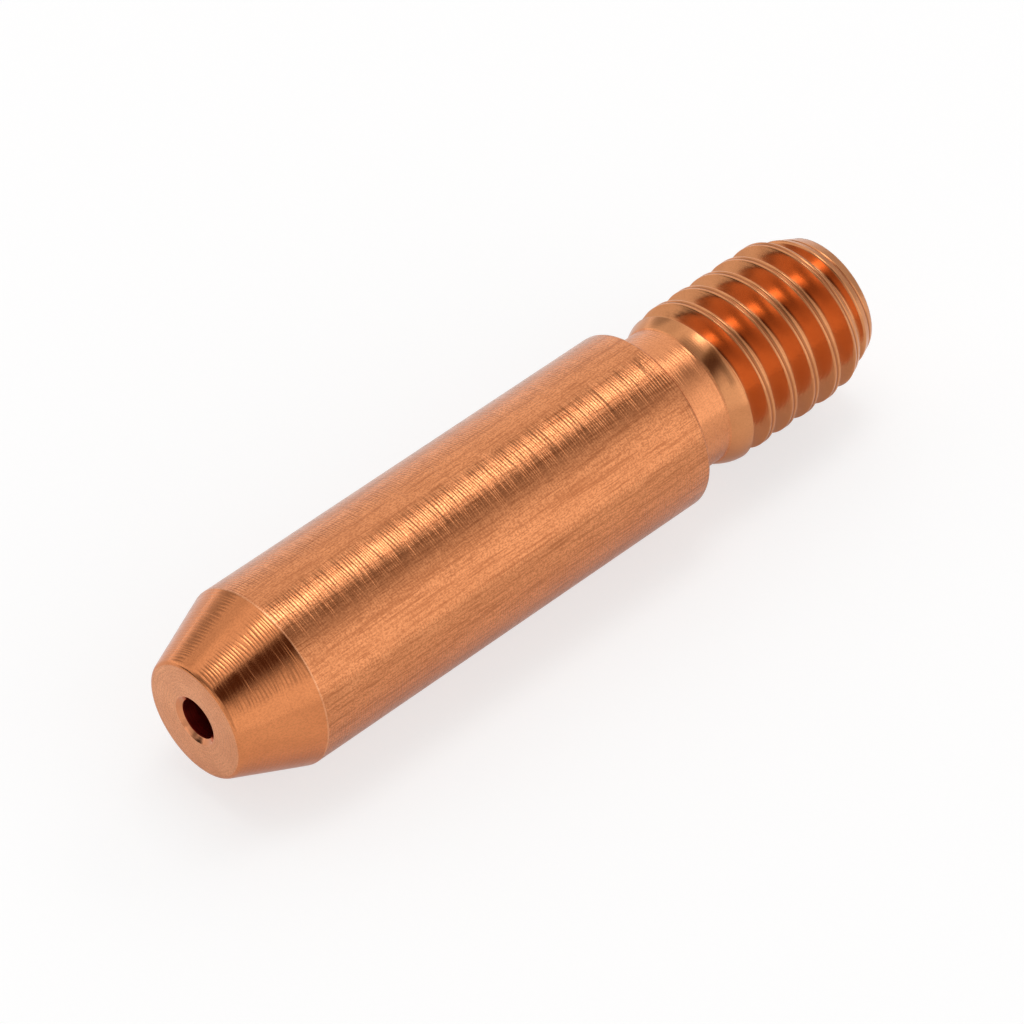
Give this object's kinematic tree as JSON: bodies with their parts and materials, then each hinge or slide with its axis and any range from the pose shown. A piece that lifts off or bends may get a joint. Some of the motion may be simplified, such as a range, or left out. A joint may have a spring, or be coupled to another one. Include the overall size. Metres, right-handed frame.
{
  "type": "welding contact tip",
  "caption": "Turned copper welding contact tip with a tapered nose, straight wire bore, plain round body, neck and right-hand external thread.",
  "frame": {"origin": "centre of the flat end face at the threaded end, which the tip stands on", "axes": "+Z along the bore axis, from the threaded end towards the nose"},
  "size_m": [0.009, 0.009, 0.0391],
  "materials": {
    "copper": "satin turned copper, glossier in the thread"
  },
  "bodies": {
    "root": {"contact_tip": "copper"}
  },
  "joints": []
}
